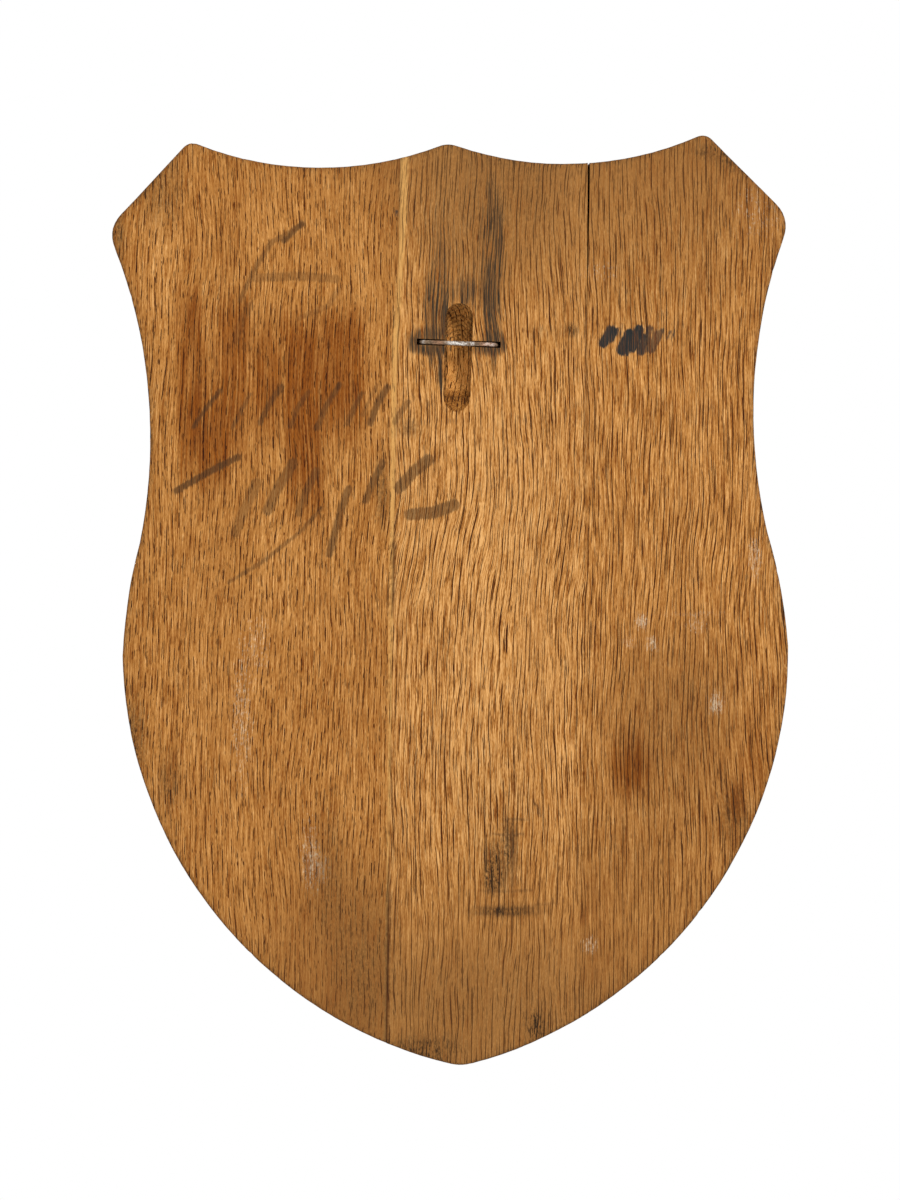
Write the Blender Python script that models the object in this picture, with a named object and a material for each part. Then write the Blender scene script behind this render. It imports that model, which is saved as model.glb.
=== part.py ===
"""Carved oak shield plaque: three boards glued edge to edge, cut to one outline, carved on the
front and hung by an iron staple that is let into the back.

Metres, +Z up. The origin is on the middle of the staple's crown, in the plane of the back,
where the hook carries the plaque. The carved front faces -Y and the flat back faces +Y, so
the left board, named as someone sees it who looks at the back, is the one at +X.
"""

import math

import bmesh
import bpy
import numpy as np

# Shield, measured to corners that are still sharp
SHIELD_WIDTH = 0.2950
SHIELD_HEIGHT = 0.4009
THICKNESS = 0.020
PEAKS_ABOVE_HOOK = 0.0892
AXIS_FROM_HOOK = 0.00345

# How far the curved edges swell out of the straight line between their corners, or sink in
SCOOP_SINK = 0.0112
WAIST_SINK = 0.0144
BELLY_SWELL = 0.0485

# Length of edge that is eased away on each side of a corner
PEAK_EASE = 0.0042
SHOULDER_EASE = 0.0092
HIP_EASE = 0.0235
TIP_EASE = 0.0045

# Corners of half the outline, from the middle of the top down to the tip: share of the half
# width, share of the height, bow of the edge that follows, easing, points on that edge
HALF_OUTLINE = (
    (0.000, 0.0062, -SCOOP_SINK, PEAK_EASE, 16),
    (0.754, 0.0000, 0.0, PEAK_EASE, 5),
    (1.000, 0.0942, -WAIST_SINK, SHOULDER_EASE, 18),
    (0.962, 0.4890, BELLY_SWELL, HIP_EASE, 36),
    (0.000, 1.0000, 0.0, TIP_EASE, 0),
)
CORNER_POINTS = 6

# Glue joints: how far they stand to each side of the hook at its height, and how far their
# tops lean towards +X
LEFT_JOINT_OUT = 0.0265
LEFT_JOINT_LEAN = math.radians(-1.78)
RIGHT_JOINT_OUT = 0.0551
RIGHT_JOINT_LEAN = math.radians(-1.28)
GLUE_GAP = 0.0003
CRACK_MOUTH = 0.00085
CRACK_FOOT_ABOVE_HOOK = 0.022

# Arrises and the carved front
BACK_ARRIS = 0.0007
FRONT_ROUND = 0.0028
ROUND_STEPS = 4
BORDER_WIDTH = 0.0140
BORDER_CHAMFER = 0.0010
GROUND_SINK = 0.0042
GROUND_SLOPE = 0.0022
CHEVRON_BELOW_HOOK = 0.050
CHEVRON_WIDTH = 0.034
CHEVRON_PITCH = math.radians(39)
CHEVRON_RISE = 0.0032
CHEVRON_CHAMFER = 0.0014

# Chopped slot in the back, which takes the hook; its head stands off to -X and its top leans
# that way too
SLOT_WIDTH = 0.0119
SLOT_LENGTH = 0.0469
SLOT_DEPTH = 0.0090
SLOT_ABOVE_HOOK = 0.0173
SLOT_HEAD_OFF = 0.0007
SLOT_LEAN = math.radians(-2.66)
SLOT_HEAD = 0.0058
SLOT_FOOT = 0.0075
SLOT_SQUARENESS = 3.2
SECTION_POINTS = 12

# Depth of the slot from its head to its foot: share of the length, share of the full depth
SLOT_FLOOR = (
    (0.0, 0.30),
    (0.05, 0.80),
    (0.12, 1.0),
    (0.62, 1.0),
    (0.80, 0.72),
    (0.875, 0.26),
    (1.0, 0.02),
)

# Iron staple and the seat that it is driven into
STAPLE_LENGTH = 0.0355
STAPLE_THICKNESS = 0.0021
STAPLE_BEND = 0.0013
STAPLE_TILT = math.radians(3.09)
LEG_LENGTH = 0.0120
LEG_POINT = 0.0040
WIRE_SIDES = 8
BEND_STEPS = 4
SEAT_CLEARANCE = 0.0003

# How far a cutter runs on past the surface that it cuts
OVERRUN = 0.004

OAK_BACK = (0.43, 0.19, 0.052)
OAK_PALE = (0.52, 0.24, 0.068)
RUSTED_IRON = (0.19, 0.12, 0.08)


def clear_scene():
    """Start from an empty scene."""
    for obj in list(bpy.data.objects):
        bpy.data.objects.remove(obj, do_unlink=True)


def finish(name, colour, roughness, metallic):
    """A plain material for one piece."""
    material = bpy.data.materials.new(name)
    material.use_nodes = True
    shader = material.node_tree.nodes["Principled BSDF"]
    shader.inputs["Base Color"].default_value = (*colour, 1.0)
    shader.inputs["Roughness"].default_value = roughness
    shader.inputs["Metallic"].default_value = metallic
    return material


def add_object(name, rings, material=None):
    """Join rings of equal count into one closed skin, with a face over each end."""
    mesh = bmesh.new()
    loops = [[mesh.verts.new(point) for point in ring] for ring in rings]
    for loop, following in zip(loops, loops[1:]):
        for i in range(len(loop)):
            j = (i + 1) % len(loop)
            mesh.faces.new((loop[i], loop[j], following[j], following[i]))
    mesh.faces.new(reversed(loops[0]))
    mesh.faces.new(loops[-1])
    bmesh.ops.recalc_face_normals(mesh, faces=mesh.faces)
    data = bpy.data.meshes.new(name)
    mesh.to_mesh(data)
    mesh.free()
    obj = bpy.data.objects.new(name, data)
    bpy.context.collection.objects.link(obj)
    if material:
        data.materials.append(material)
    else:
        obj.hide_render = True
        obj.display_type = "WIRE"
    return obj


def prism(name, corners, low_y, high_y):
    """A cutter: an outline in X and Z, drawn out along Y."""
    return add_object(name, [[(x, y, z) for x, z in corners] for y in (low_y, high_y)])


def boolean(obj, cutter, operation):
    """Cut obj by a cutter, or join or trim it."""
    modifier = obj.modifiers.new(cutter.name, "BOOLEAN")
    modifier.operation = operation
    modifier.solver = "EXACT"
    modifier.object = cutter


class Edge:
    """One edge of the outline: an arc, or a straight line where its bow is 0.

    The outline runs clockwise as the front sees it, so the inside is on an edge's right.
    """

    def __init__(self, start, end, bow):
        chord = end - start
        self.start = start
        self.bow = bow
        self.length = math.hypot(*chord)
        self.inward = np.array((chord[1], -chord[0])) / self.length
        if bow:
            self.radius = ((self.length / 2) ** 2 + bow**2) / (2 * abs(bow))
            reach = math.copysign(self.radius - abs(bow), bow)
            self.centre = (start + end) / 2 + self.inward * reach

    def depth(self, point):
        """How far inside the edge a point is, and the direction further in."""
        if not self.bow:
            return float(np.dot(point - self.start, self.inward)), self.inward
        ray = self.centre - point
        distance = math.hypot(*ray)
        side = math.copysign(1.0, self.bow)
        return side * (self.radius - distance), side * ray / distance

    def between(self, start, end, share):
        """The point at a share of the way along the edge between two of its points."""
        if not self.bow:
            return start + (end - start) * share
        first = math.atan2(*(start - self.centre)[::-1])
        last = math.atan2(*(end - self.centre)[::-1])
        sweep = (last - first + math.pi) % (2 * math.pi) - math.pi
        angle = first + sweep * share
        radius = math.hypot(*(start - self.centre))
        return self.centre + radius * np.array((math.cos(angle), math.sin(angle)))


def meeting_point(before, after, guess, inset):
    """The corner of two edges that are both moved in by the same inset."""
    point = np.array(guess, dtype=float)
    for _ in range(8):
        depth_a, inward_a = before.depth(point)
        depth_b, inward_b = after.depth(point)
        missing = np.array((inset - depth_a, inset - depth_b))
        point = point + np.linalg.solve(np.array((inward_a, inward_b)), missing)
    return point


def shield_corners():
    """The whole outline's sharp corners, each with its edge's bow, easing and point count."""
    right = []
    for across, down, bow, ease, count in HALF_OUTLINE:
        place = np.array((across * SHIELD_WIDTH / 2, PEAKS_ABOVE_HOOK - down * SHIELD_HEIGHT))
        right.append((place, bow, ease, count))
    corners = list(right[:-1])
    for i in range(len(right) - 1, 0, -1):
        place, _, ease, _ = right[i]
        _, bow, _, count = right[i - 1]
        corners.append((place * (-1, 1), bow, ease, count))
    return corners


def outline(inset):
    """The shield's outline moved in by an inset, always with the same number of points."""
    corners = shield_corners()
    count = len(corners)
    edges = [Edge(corners[i][0], corners[(i + 1) % count][0], corners[i][1]) for i in range(count)]
    sharp = [meeting_point(edges[i - 1], edges[i], corners[i][0], inset) for i in range(count)]
    loop = []
    for i in range(count):
        start, end = sharp[i], sharp[(i + 1) % count]
        after_end = sharp[(i + 2) % count]
        following = edges[(i + 1) % count]
        ease, next_ease = corners[i][2], corners[(i + 1) % count][2]
        length = math.dist(start, end)
        next_length = math.dist(end, after_end)
        first, last = ease / length, 1 - next_ease / length
        steps = corners[i][3]
        for k in range(steps + 1):
            loop.append(edges[i].between(start, end, first + (last - first) * k / steps))
        turn_start = loop[-1]
        turn_end = following.between(end, after_end, next_ease / next_length)
        for k in range(1, CORNER_POINTS + 1):
            t = k / (CORNER_POINTS + 1)
            loop.append((1 - t) ** 2 * turn_start + 2 * t * (1 - t) * end + t**2 * turn_end)
    return [(float(x) + AXIS_FROM_HOOK, float(z)) for x, z in loop]


def shield_ring(inset, y):
    """One ring round the shield, at an inset and a depth."""
    return [(x, y, z) for x, z in outline(inset)]


def shield_blank():
    """Rings from the flat back, round the edge, over the border and down to the sunk ground."""
    front = -THICKNESS
    rings = [shield_ring(BACK_ARRIS, 0.0), shield_ring(0.0, -BACK_ARRIS)]
    for k in range(ROUND_STEPS + 1):
        angle = math.pi / 2 * k / ROUND_STEPS
        inset = FRONT_ROUND * (1 - math.cos(angle))
        rings.append(shield_ring(inset, front + FRONT_ROUND * (1 - math.sin(angle))))
    rings.append(shield_ring(BORDER_WIDTH - BORDER_CHAMFER, front))
    rings.append(shield_ring(BORDER_WIDTH, front + BORDER_CHAMFER))
    rings.append(shield_ring(BORDER_WIDTH + GROUND_SLOPE, front + GROUND_SINK))
    return rings


def chevron_ring(half_width, y):
    """A bent band with its apex up, whose arms run on past the border."""
    reach = SHIELD_WIDTH / 2
    fall = reach * math.tan(CHEVRON_PITCH)
    rise = half_width / math.cos(CHEVRON_PITCH)
    middle = -CHEVRON_BELOW_HOOK - CHEVRON_WIDTH / 2 / math.cos(CHEVRON_PITCH)
    low, high = middle - rise, middle + rise
    right = [(reach, high - fall), (reach, low - fall)]
    left = [(-x, z) for x, z in reversed(right)]
    corners = [(0, high), *right, (0, low), *left]
    return [(x + AXIS_FROM_HOOK, y, z) for x, z in corners]


def add_chevron():
    """The raised chevron, trimmed so that its arms die into the border."""
    ground = GROUND_SINK - THICKNESS
    top = ground - CHEVRON_RISE
    rings = [
        chevron_ring(CHEVRON_WIDTH / 2, ground + BORDER_CHAMFER),
        chevron_ring(CHEVRON_WIDTH / 2, top + CHEVRON_CHAMFER),
        chevron_ring(CHEVRON_WIDTH / 2 - CHEVRON_CHAMFER, top),
    ]
    chevron = add_object("chevron_cutter", rings)
    trim = prism("chevron_trim", outline(BORDER_WIDTH / 2), -2 * THICKNESS, THICKNESS)
    boolean(chevron, trim, "INTERSECT")
    return chevron


def joint_x(x_at_hook, lean, z):
    """Where a glue joint runs at a height."""
    return x_at_hook + math.tan(lean) * z


def crack_width(z):
    """The right joint's gap: glue thin low down, opening from the crack's foot to its mouth."""
    share = max(0.0, (z - CRACK_FOOT_ABOVE_HOOK) / (PEAKS_ABOVE_HOOK - CRACK_FOOT_ABOVE_HOOK))
    return GLUE_GAP + (CRACK_MOUTH - GLUE_GAP) * share


def add_board_regions():
    """Cutters for the room that each of the three boards takes up."""
    top = PEAKS_ABOVE_HOOK + OVERRUN
    foot = PEAKS_ABOVE_HOOK - SHIELD_HEIGHT - OVERRUN
    side = AXIS_FROM_HOOK + SHIELD_WIDTH / 2 + OVERRUN
    other_side = AXIS_FROM_HOOK - SHIELD_WIDTH / 2 - OVERRUN
    half_gap = GLUE_GAP / 2
    left_top, left_foot = (joint_x(LEFT_JOINT_OUT, LEFT_JOINT_LEAN, z) for z in (top, foot))
    heights = (foot, CRACK_FOOT_ABOVE_HOOK, top)
    right_line = [(joint_x(-RIGHT_JOINT_OUT, RIGHT_JOINT_LEAN, z), z) for z in heights]
    left = [(left_foot + half_gap, foot), (left_top + half_gap, top), (side, top), (side, foot)]
    middle = [(x + half_gap, z) for x, z in right_line]
    middle += [(left_top - half_gap, top), (left_foot - half_gap, foot)]
    right = [(x + half_gap - crack_width(z), z) for x, z in right_line]
    right += [(other_side, top), (other_side, foot)]
    low_y, high_y = -THICKNESS - OVERRUN, OVERRUN
    return {
        "left_board": prism("left_board_room", left, low_y, high_y),
        "middle_board": prism("middle_board_room", middle, low_y, high_y),
        "right_board": prism("right_board_room", right, low_y, high_y),
    }


def slot_half_width(along):
    """Half the slot's width at a distance from its head: a round head and a rounder foot."""
    half = SLOT_WIDTH / 2
    head = 1 - min(1.0, along / SLOT_HEAD)
    foot = 1 - min(1.0, (SLOT_LENGTH - along) / SLOT_FOOT)
    return half * math.sqrt(1 - head**2) * math.sqrt(1 - foot**2)


def slot_depth(along):
    """The slot's depth at a distance from its head."""
    shares, depths = zip(*SLOT_FLOOR)
    return SLOT_DEPTH * float(np.interp(along / SLOT_LENGTH, shares, depths))


def slot_section(along):
    """One section of the slot, with a flat floor, rounded corners and steep walls."""
    half, depth = slot_half_width(along), slot_depth(along)
    ring = [(half, OVERRUN, -along), (-half, OVERRUN, -along)]
    for k in range(SECTION_POINTS + 1):
        angle = math.pi * (1 - k / SECTION_POINTS)
        across = math.copysign(abs(math.cos(angle)) ** (2 / SLOT_SQUARENESS), math.cos(angle))
        down = math.sin(angle) ** (2 / SLOT_SQUARENESS) if 0 < k < SECTION_POINTS else 0.0
        ring.append((half * across, -depth * down, -along))
    return ring


def slot_stations():
    """Distances from the head, closer together where the ends are round."""
    head = [SLOT_HEAD * share for share in (0.02, 0.12, 0.3, 0.55, 1.0)]
    foot = [SLOT_LENGTH - SLOT_FOOT * share for share in (1.0, 0.6, 0.35, 0.15, 0.02)]
    knees = [SLOT_LENGTH * share for share, _ in SLOT_FLOOR]
    middle = [place for place in knees if head[-1] < place < foot[0]]
    return head + middle + foot


def add_slot():
    """The cutter of the slot, leaning as it was chopped."""
    slot = add_object("slot_cutter", [slot_section(along) for along in slot_stations()])
    slot.location = (-SLOT_HEAD_OFF, 0.0, SLOT_ABOVE_HOOK)
    slot.rotation_euler = (0.0, SLOT_LEAN, 0.0)
    return slot


def staple_path():
    """The wire's middle line from one point round both bends, each place with its width share."""
    radius = STAPLE_THICKNESS / 2
    reach = STAPLE_LENGTH / 2 - radius
    bend = STAPLE_BEND + radius
    half = [(reach, -LEG_LENGTH, 0.25), (reach, -LEG_LENGTH + LEG_POINT, 1.0)]
    for k in range(BEND_STEPS + 1):
        angle = math.pi / 2 * k / BEND_STEPS
        across = reach - bend + bend * math.cos(angle)
        half.append((across, -radius - bend + bend * math.sin(angle), 1.0))
    return half + [(-x, y, share) for x, y, share in reversed(half)]


def staple_rings():
    """Rings round the wire, each square to its middle line."""
    path = staple_path()
    radius = STAPLE_THICKNESS / 2
    rings = []
    for i, (x, y, share) in enumerate(path):
        before, after = path[max(i - 1, 0)], path[min(i + 1, len(path) - 1)]
        along = np.array((after[0] - before[0], after[1] - before[1]))
        side = np.array((-along[1], along[0])) / math.hypot(*along)
        ring = []
        for k in range(WIRE_SIDES):
            angle = 2 * math.pi * (k + 0.5) / WIRE_SIDES
            out = radius * share * math.cos(angle) / math.cos(math.pi / WIRE_SIDES)
            up = radius * share * math.sin(angle) / math.cos(math.pi / WIRE_SIDES)
            ring.append((x + side[0] * out, y + side[1] * out, up))
        rings.append(ring)
    return rings


def add_staple():
    """The iron staple, its crown flush with the back and its legs driven into the board."""
    iron = finish("rusted_iron", RUSTED_IRON, 0.62, 0.55)
    staple = add_object("hanging_staple", staple_rings(), iron)
    staple.rotation_euler = (0.0, -STAPLE_TILT, 0.0)
    for polygon in staple.data.polygons:
        polygon.use_smooth = True
    staple.data.set_sharp_from_angle(angle=math.radians(50))


def staple_cutter(name, low_x, high_x, depth):
    """A straight-sided cutter along the crown, open at the back."""
    half = STAPLE_THICKNESS / 2 + SEAT_CLEARANCE
    corners = [(low_x, -half), (high_x, -half), (high_x, half), (low_x, half)]
    cutter = prism(name, corners, -depth - SEAT_CLEARANCE, OVERRUN)
    cutter.rotation_euler = (0.0, -STAPLE_TILT, 0.0)
    return cutter


def add_staple_seat():
    """Cutters for the groove under the crown, the room for each bend and the leg holes."""
    far = STAPLE_LENGTH / 2 + SEAT_CLEARANCE
    near = far - STAPLE_THICKNESS - 2 * SEAT_CLEARANCE
    bend = near - STAPLE_BEND
    bend_depth = STAPLE_THICKNESS + STAPLE_BEND
    return [
        staple_cutter("staple_groove", -far, far, STAPLE_THICKNESS),
        staple_cutter("left_bend_room", bend, far, bend_depth),
        staple_cutter("right_bend_room", -far, -bend, bend_depth),
        staple_cutter("left_leg_hole", near, far, LEG_LENGTH),
        staple_cutter("right_leg_hole", -far, -near, LEG_LENGTH),
    ]


def build():
    """Make the three boards and the staple."""
    clear_scene()
    rings = shield_blank()
    chevron = add_chevron()
    regions = add_board_regions()
    colours = {"left_board": OAK_BACK, "middle_board": OAK_PALE, "right_board": OAK_BACK}
    boards = {}
    for name, region in regions.items():
        board = add_object(name, rings, finish(name + "_oak", colours[name], 0.7, 0.0))
        boolean(board, chevron, "UNION")
        boolean(board, region, "INTERSECT")
        boards[name] = board
    for cutter in [add_slot(), *add_staple_seat()]:
        boolean(boards["middle_board"], cutter, "DIFFERENCE")
    add_staple()


build()
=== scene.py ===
"""Looks of the carved oak shield: the raw oak back with its stains and brush marks, the dark
waxed front, and the rusted staple that crosses the chopped slot.

Lengths are millimetres, unless a name says otherwise. A place on the back is (u, v): u to the
right as someone sees the back, v up, both from the middle of the staple, so that in the frame
x = -u / 1000 and z = v / 1000. Depths below the back are positive.
"""

import copy
import itertools
import math
from types import SimpleNamespace

import bmesh
import bpy
import numpy as np
from mathutils import Matrix, Vector, geometry, kdtree


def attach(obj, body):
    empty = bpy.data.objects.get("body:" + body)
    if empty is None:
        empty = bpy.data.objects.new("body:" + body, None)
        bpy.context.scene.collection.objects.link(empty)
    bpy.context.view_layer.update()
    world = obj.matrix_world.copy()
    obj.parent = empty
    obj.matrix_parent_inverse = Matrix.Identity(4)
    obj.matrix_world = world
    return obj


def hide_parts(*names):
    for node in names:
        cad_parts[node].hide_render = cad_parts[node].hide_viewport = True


MM = 0.001
WHITE = (1.0, 1.0, 1.0, 1.0)

# Glue joints: u at the staple's height, and how much u grows for each millimetre up
LEFT_JOINT = (-26.5, 0.0311)
RIGHT_JOINT = (55.1, 0.0223)

# Slot: its head, foot, half width, depth and length, and how often its facets are melted
SLOT_HEAD = (0.7, 17.3)
SLOT_FOOT = (-1.5, -29.6)
SLOT_HALF_WIDTH = 5.95
SLOT_DEPTH = 9.0
SLOT_LENGTH = 46.9
SLOT_MELTINGS = 12

# Cross cuts in the slot: their spacing, how far they bow, and where the ramp at the foot starts
CHOP_PITCH = 2.1
CHOP_BOW = 0.16
RAMP_START = 41.0

# Glue joints as the solids have them: the gap, and the right one's mouth, top and foot
GLUE_GAP = 0.3
SOLID_CRACK_MOUTH = 0.85
SOLID_CRACK_TOP = 89.2
SOLID_CRACK_FOOT = 22.0

# Glue joints as they look: half the gap that is left, how near a joint and its faces a point has
# to lie to belong to them, and the right one's crack, which is widest at its head, closed at its
# foot and stops before the front
SEAM = 0.008
JOINT_REACH = 0.75
FACE_REACH = 0.06
CRACK_MOUTH = 0.92
CRACK_HEAD = 74.0
CRACK_FOOT = 8.0
CRACK_DEPTH = 15.0

# The staple's tilt, the size of its wire, and how square and how finely divided its section is
STAPLE_TILT = math.radians(3.09)
STAPLE_THICKNESS = 2.1
STAPLE_LENGTH = 35.5
STAPLE_BEND = 1.3
LEG_LENGTH = 12.0
WIRE_SQUARENESS = 2.6
WIRE_SIDES = 28

# How far the faces of the staple's seat lie from its crown: across, up or down, and deep
SEAT_REACH = (18.6, 1.6, 14.0)

# Spacing of the points that a board's faces are filled with
BACK_SPACING = 0.95
FRONT_SPACING = 1.25
SIDE_SPACING = 1.5
FINE_SPACING = 0.42

# How far in from the outline an edge's dirt and wear can reach, and which edges look sharp
EDGE_REACH = 12.0
SHARP_ANGLE = math.radians(42)

# Front of the shield: the ground's depth, and the size and scatter of the gouge cuts in it
THICKNESS = 20.0
GROUND_DEPTH = 4.2
GOUGE_CUT = np.array((6.4, 8.6))
GOUGE_SCATTER = 0.45

# Brush strokes and scratches on the back: points along each, half width, how dark it is
BROWN_STROKES = (
    (((-115, -34.5), (-109.3, -26.5), (-103, -18.8)), 1, 0.74),
    (((-98, -35), (-94, -27.5), (-90, -20.5)), 0.9, 0.54),
    (((-86, -33), (-82.3, -25), (-76.5, -17.5)), 1.3, 0.61),
    (((-73, -34.5), (-69.7, -26.5), (-65, -20)), 1.2, 0.51),
    (((-61.5, -35.5), (-57.5, -26), (-51.5, -17)), 1.3, 0.61),
    (((-48.5, -34), (-45.7, -27.5), (-42, -21)), 1.2, 0.54),
    (((-38.5, -34), (-35.7, -26), (-31, -18.5)), 1.5, 0.74),
    (((-28, -33.5), (-25.5, -29.3), (-22, -25)), 1.4, 0.54),
    (((-122.7, -61.8), (-110.1, -54.7), (-95.8, -47.6)), 1.5, 0.81),
    (((-97.5, -80), (-93.3, -70), (-88, -59)), 2.2, 0.43),
    (((-83.5, -71), (-78.8, -61), (-72, -50.5)), 2.2, 0.57),
    (((-70, -72), (-66.7, -63), (-62, -54)), 1.8, 0.51),
    (((-57, -90), (-53.3, -76), (-48.5, -62)), 1.7, 0.68),
    (((-41, -67), (-37.7, -58.5), (-33.5, -51)), 1.6, 0.65),
    (((-26.5, -62), (-20.7, -55.5), (-14, -50)), 2.6, 0.66),
    (((-22, -73.5), (-12, -72.8), (-3.1, -69.7)), 2.7, 0.68),
    (((-60, -70.1), (-69.6, -80.3), (-86.2, -93), (-100.5, -101.4)), 0.9, 0.54),
    (((-67.6, 51.5), (-79.8, 44.8), (-87.3, 33.7), (-93.9, 20)), 1.1, 0.49),
    (((-66.7, 52.4), (-71.1, 49), (-74.6, 45.6)), 1.5, 0.81),
    (((-86.9, 29.4), (-69.6, 30), (-52.4, 28.5)), 1.9, 0.36),
    (((-51.6, 23.7), (-56.1, 16.9), (-68.2, 11.9)), 1.3, 0.29),
    (((-95.9, 2.8), (-93.2, 11.4), (-89.7, 17.4)), 1.7, 0.29),
    (((17.7, -204.4), (17.5, -215.6)), 0.45, 0.85),
    (((19.8, -207), (20, -222.1), (19.4, -234.6)), 0.5, 0.7),
    (((21.7, -210.1), (21.6, -233.8)), 0.35, 0.6),
    (((15.8, -216.4), (16, -234.1)), 0.3, 0.5),
    (((16.8, -205.5), (21.6, -205.3), (26.3, -205.8)), 0.4, 0.75),
    (((11.6, -211.6), (18, -212.4), (24.5, -211.8)), 0.45, 0.7),
    (((6.5, -236.1), (16.8, -236.5), (27.6, -236)), 0.55, 0.42),
    (((2.5, -243), (14.1, -244), (28.3, -243.8)), 0.5, 0.34),
    (((3.7, -246), (16.2, -246.2), (28.3, -245.9)), 0.55, 0.3),
    (((28.3, -242.5), (37.8, -241.8)), 0.6, 0.3),
    (((7.1, -250.3), (8.4, -251.7)), 0.55, 0.3),
    (((29.1, -197.6), (30.7, -200.3), (31.9, -204.1)), 0.5, 0.85),
    (((-35.5, -17.5), (-38.6, -23.5), (-42.1, -30.3)), 0.9, 0.4),
)
INK_STROKES = (
    (((62.4, -1), (65.6, 4.6)), 2.2, 0.9),
    (((65.8, 0.6), (67.8, 4.4)), 1.5, 0.85),
    (((69.6, -0.4), (70.3, 7.2)), 0.45, 0.95),
    (((70.4, -4), (73.6, 2.6)), 2.6, 0.95),
    (((72.6, -5.6), (74.6, 0.6)), 1.2, 0.95),
    (((74.6, -3), (78, 4.6)), 2.3, 0.92),
    (((78.4, -4.6), (80.6, 1.4)), 2, 0.85),
    (((80.2, -1), (82.6, 5)), 1.6, 0.7),
    (((82.6, -3.4), (85.8, 2.4)), 2.2, 0.62),
    (((85.8, -0.4), (88, 4.4)), 1, 0.72),
    (((90, 0.6), (91.4, 3.8)), 0.5, 0.9),
    (((92, 0.9), (93.2, 4)), 0.45, 0.8),
    (((-25.9, 57.2), (-25.5, 55.2)), 0.65, 0.95),
)

# Fingers of a brown wash: their top, their foot, half width, strength
WASH_STROKES = (
    ((-116.5, 27), (-113, -50), 5.2, 0.55),
    ((-95.8, 22), (-98.6, -40), 5.6, 0.62),
    ((-83.3, 6), (-84, -36.2), 3.6, 0.45),
    ((-68, 12), (-67.3, -74), 7, 0.78),
    ((-49.5, 15), (-50, -36), 8.6, 0.74),
    ((-109.7, -16), (-110.2, -56), 11, 0.66),
)
WASH_PATCHES = (
    (-84, -14, 40, 30, 0.34),
    (71.4, -184.1, 5.6, 10.3, 0.95),
    (70.6, -181.5, 9.5, 16.4, 0.55),
    (116, -200.7, 3.9, 10.3, 0.7),
    (125, -175, 8, 26, 0.3),
)

# Patches on the back: u, v, half width, half height, strength
TANNIN_PATCHES = (
    (-12, -2.2, 8, 2.9, 1),
    (12.5, -2.8, 8, 3, 1),
    (-13, 3.8, 8, 3.4, 1),
    (14.5, 2, 5, 4, 1),
    (-19, 0.6, 3.4, 4, 1),
    (18, -0.4, 2.6, 3.4, 0.95),
    (-7.5, 24, 3.6, 30, 0.55),
    (-11.5, 14, 4, 16, 0.85),
    (14.6, 16, 3.8, 20, 0.95),
    (15.8, 44, 5, 30, 0.62),
    (4, 22, 9, 7, 0.6),
    (2, 44, 22, 40, 0.3),
    (-8.2, -10, 1.2, 11, 0.95),
    (-12, -6.5, 0.9, 6, 0.85),
    (15, -7.5, 1.2, 6, 0.7),
    (8.6, -9, 1, 9, 0.55),
    (-5.8, 10, 1.4, 10, 0.7),
)
GRIME_PATCHES = (
    (-126.8, 67.9, 9, 18, 0.4),
    (125.4, 76.9, 12, 5, 0.75),
    (112, 80.9, 10, 4, 0.55),
    (-141.2, -168.8, 4, 18, 0.55),
    (-127.2, -186.3, 5, 12, 0.45),
    (-19.1, -303.8, 16, 6, 0.65),
    (114.6, -205, 8, 14, 0.4),
    (11.8, -225.4, 4.7, 11.2, 0.8),
    (11.3, -231.5, 4.3, 5.6, 0.75),
    (18.4, -217.8, 3.4, 12.9, 0.6),
    (16.2, -244.9, 13.8, 2.6, 0.8),
    (10.5, -197, 17.2, 25.8, 0.12),
    (28.8, -294.2, 4, 6, 1),
    (28.8, -294.2, 2.6, 4.4, 0.9),
    (48.5, 5, 2.8, 2.6, 0.85),
    (38, 4, 14, 3, 0.18),
    (-34, -64, 3, 14, 0.55),
    (-22, -36, 6, 4, 0.5),
    (-146, 50.1, 3, 9, 0.5),
    (-46, -262, 14, 34, 0.36),
    (-60, -230, 8, 26, 0.34),
    (90.7, -165.9, 26, 34, 0.22),
    (20, 64, 46, 34, 0.31),
    (98, 52, 36, 40, 0.2),
    (70, 24, 14, 22, 0.1),
    (10, -284, 54, 26, 0.26),
    (78, -215, 24, 24, 0.12),
)
SCUFF_PATCHES = (
    (77.1, -121.3, 3, 3.9, 0.66),
    (71.8, -129.8, 3, 3, 0.43),
    (81.3, -130.8, 3, 3.9, 0.51),
    (100.8, -122.9, 5.2, 4.3, 0.39),
    (97.9, -118.2, 17.2, 1.3, 0.27),
    (108.9, -158.4, 3.4, 4.3, 0.43),
    (126.2, -94, 3, 9.5, 0.51),
    (-95.8, -158.7, 5, 34, 0.35),
    (-88, -128, 6, 14, 0.31),
    (-67.4, -217.3, 4, 18, 0.39),
    (-64, -226, 5, 8, 0.35),
    (52.6, -260.1, 4, 4, 0.47),
    (108.1, -155.4, 4, 5, 0.39),
    (131.5, 55.4, 12, 14, 0.27),
    (136, -60, 4, 40, 0.23),
    (62, 30, 9, 5, 0.23),
)
DARK_PATCHES = (
    (90.7, -165.9, 34, 44, 0.4),
    (24, 92, 80, 30, 0.92),
    (100, 84, 50, 34, 0.5),
    (24, 52, 50, 40, 0.62),
    (110, 50, 40, 50, 0.25),
    (0, -300, 90, 60, 0.75),
    (40, -250, 60, 40, 0.3),
    (-60, -262, 40, 50, 0.38),
    (100, -250, 50, 50, 0.3),
)
PALE_PATCHES = (
    (-128, 36, 8, 30, 0.5),
    (-72, -96.6, 16, 34, 0.25),
    (10, -110, 34, 80, 0.35),
)

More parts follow.
